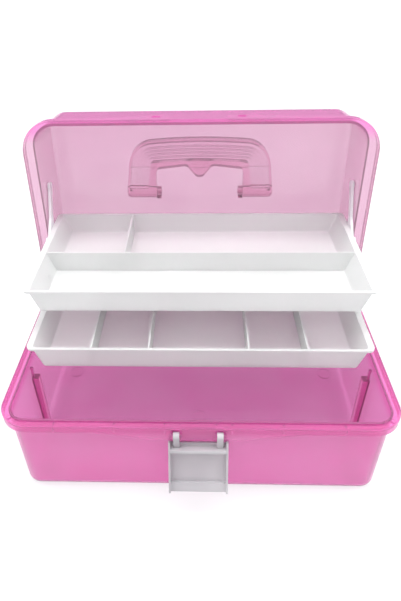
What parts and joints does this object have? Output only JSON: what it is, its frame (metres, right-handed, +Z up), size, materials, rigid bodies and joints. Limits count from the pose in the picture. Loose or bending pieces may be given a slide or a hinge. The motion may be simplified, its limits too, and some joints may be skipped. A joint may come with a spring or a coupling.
{
  "type": "makeup storage case with handle",
  "caption": "Folding make-up and jewellery case: tinted base and hinged lid, two divided trays that rise on swinging arms, a folding carry handle and a front latch.",
  "frame": {"origin": "centre of the base's footprint, on the plane that the case stands on", "axes": "+X to the right, +Y to the back (hinge side), +Z up; drawn with the lid open and the trays raised"},
  "size_m": [0.33, 0.2864, 0.2715],
  "materials": {
    "pink_plastic": "clear tinted, glossy",
    "pink_plastic_lid": "clear tinted, glossy",
    "pink_handle": "clear tinted, glossy",
    "white_plastic": "smooth moulded",
    "white_plastic_lower": "smooth moulded",
    "white_arm": "smooth moulded",
    "white_pin": "smooth moulded",
    "frosted_plastic": "frosted",
    "steel_pin": "drawn wire"
  },
  "bodies": {
    "base": {"base_box": "pink_plastic", "front_arm_peg_left": "white_pin", "front_arm_peg_right": "white_pin", "hinge_pin_left": "steel_pin", "hinge_pin_right": "steel_pin"},
    "lid": {"lid": "pink_plastic_lid", "rear_arm_peg_left": "white_pin", "rear_arm_peg_right": "white_pin"},
    "handle": {"handle": "pink_handle"},
    "latch": {"latch": "frosted_plastic"},
    "front_arm_left": {"front_arm_left": "white_arm"},
    "front_arm_right": {"front_arm_right": "white_arm"},
    "rear_arm_left": {"rear_arm_left": "white_arm"},
    "rear_arm_right": {"rear_arm_right": "white_arm"},
    "upper_tray": {"upper_tray": "white_plastic", "upper_front_pin_left": "white_pin", "upper_front_pin_right": "white_pin", "upper_rear_pin_left": "white_pin", "upper_rear_pin_right": "white_pin"},
    "lower_tray": {"lower_tray": "white_plastic_lower", "lower_front_pin_left": "white_pin", "lower_front_pin_right": "white_pin", "lower_rear_pin_left": "white_pin", "lower_rear_pin_right": "white_pin"}
  },
  "joints": [
    {"name": "lid_close", "type": "hinge", "parent": "base", "child": "lid", "pos_m": [0, 0.0945, 0.089], "axis": [1, 0, 0], "range_deg": [0, 94]},
    {"name": "latch_close", "type": "hinge", "parent": "base", "child": "latch", "pos_m": [0, -0.0893, 0.081], "axis": [-1, 0, 0], "range_deg": [0, 158]},
    {"name": "handle_raise", "type": "hinge", "parent": "lid", "child": "handle", "pos_m": [0, 0.16808, 0.17357], "axis": [-1, 0, 0], "range_deg": [0, 90]},
    {"name": "front_arm_left_swing", "type": "hinge", "parent": "base", "child": "front_arm_left", "pos_m": [0, 0.03898, 0.08169], "axis": [1, 0, 0], "range_deg": [0, 94]},
    {"name": "front_arm_right_swing", "type": "hinge", "parent": "base", "child": "front_arm_right", "pos_m": [0, 0.03898, 0.08169], "axis": [1, 0, 0], "range_deg": [0, 94]},
    {"name": "lower_tray_pivot", "type": "hinge", "parent": "front_arm_left", "child": "lower_tray", "pos_m": [0, 0.03617, 0.1276], "axis": [1, 0, 0], "range_deg": [-94, 0]},
    {"name": "upper_tray_pivot", "type": "hinge", "parent": "front_arm_left", "child": "upper_tray", "pos_m": [0, 0.03495, 0.14757], "axis": [1, 0, 0], "range_deg": [-94, 0]},
    {"name": "rear_arm_left_swing", "type": "hinge", "parent": "lower_tray", "child": "rear_arm_left", "pos_m": [0, 0.09169, 0.13491], "axis": [1, 0, 0], "range_deg": [0, 94]},
    {"name": "rear_arm_right_swing", "type": "hinge", "parent": "lower_tray", "child": "rear_arm_right", "pos_m": [0, 0.09169, 0.13491], "axis": [1, 0, 0], "range_deg": [0, 94]}
  ],
  "couplings": [
    {"joint": "front_arm_left_swing", "follows": "lid_close", "ratio": 1},
    {"joint": "front_arm_right_swing", "follows": "lid_close", "ratio": 1},
    {"joint": "lower_tray_pivot", "follows": "lid_close", "ratio": -1},
    {"joint": "upper_tray_pivot", "follows": "lid_close", "ratio": -1},
    {"joint": "rear_arm_left_swing", "follows": "lid_close", "ratio": 1},
    {"joint": "rear_arm_right_swing", "follows": "lid_close", "ratio": 1}
  ]
}
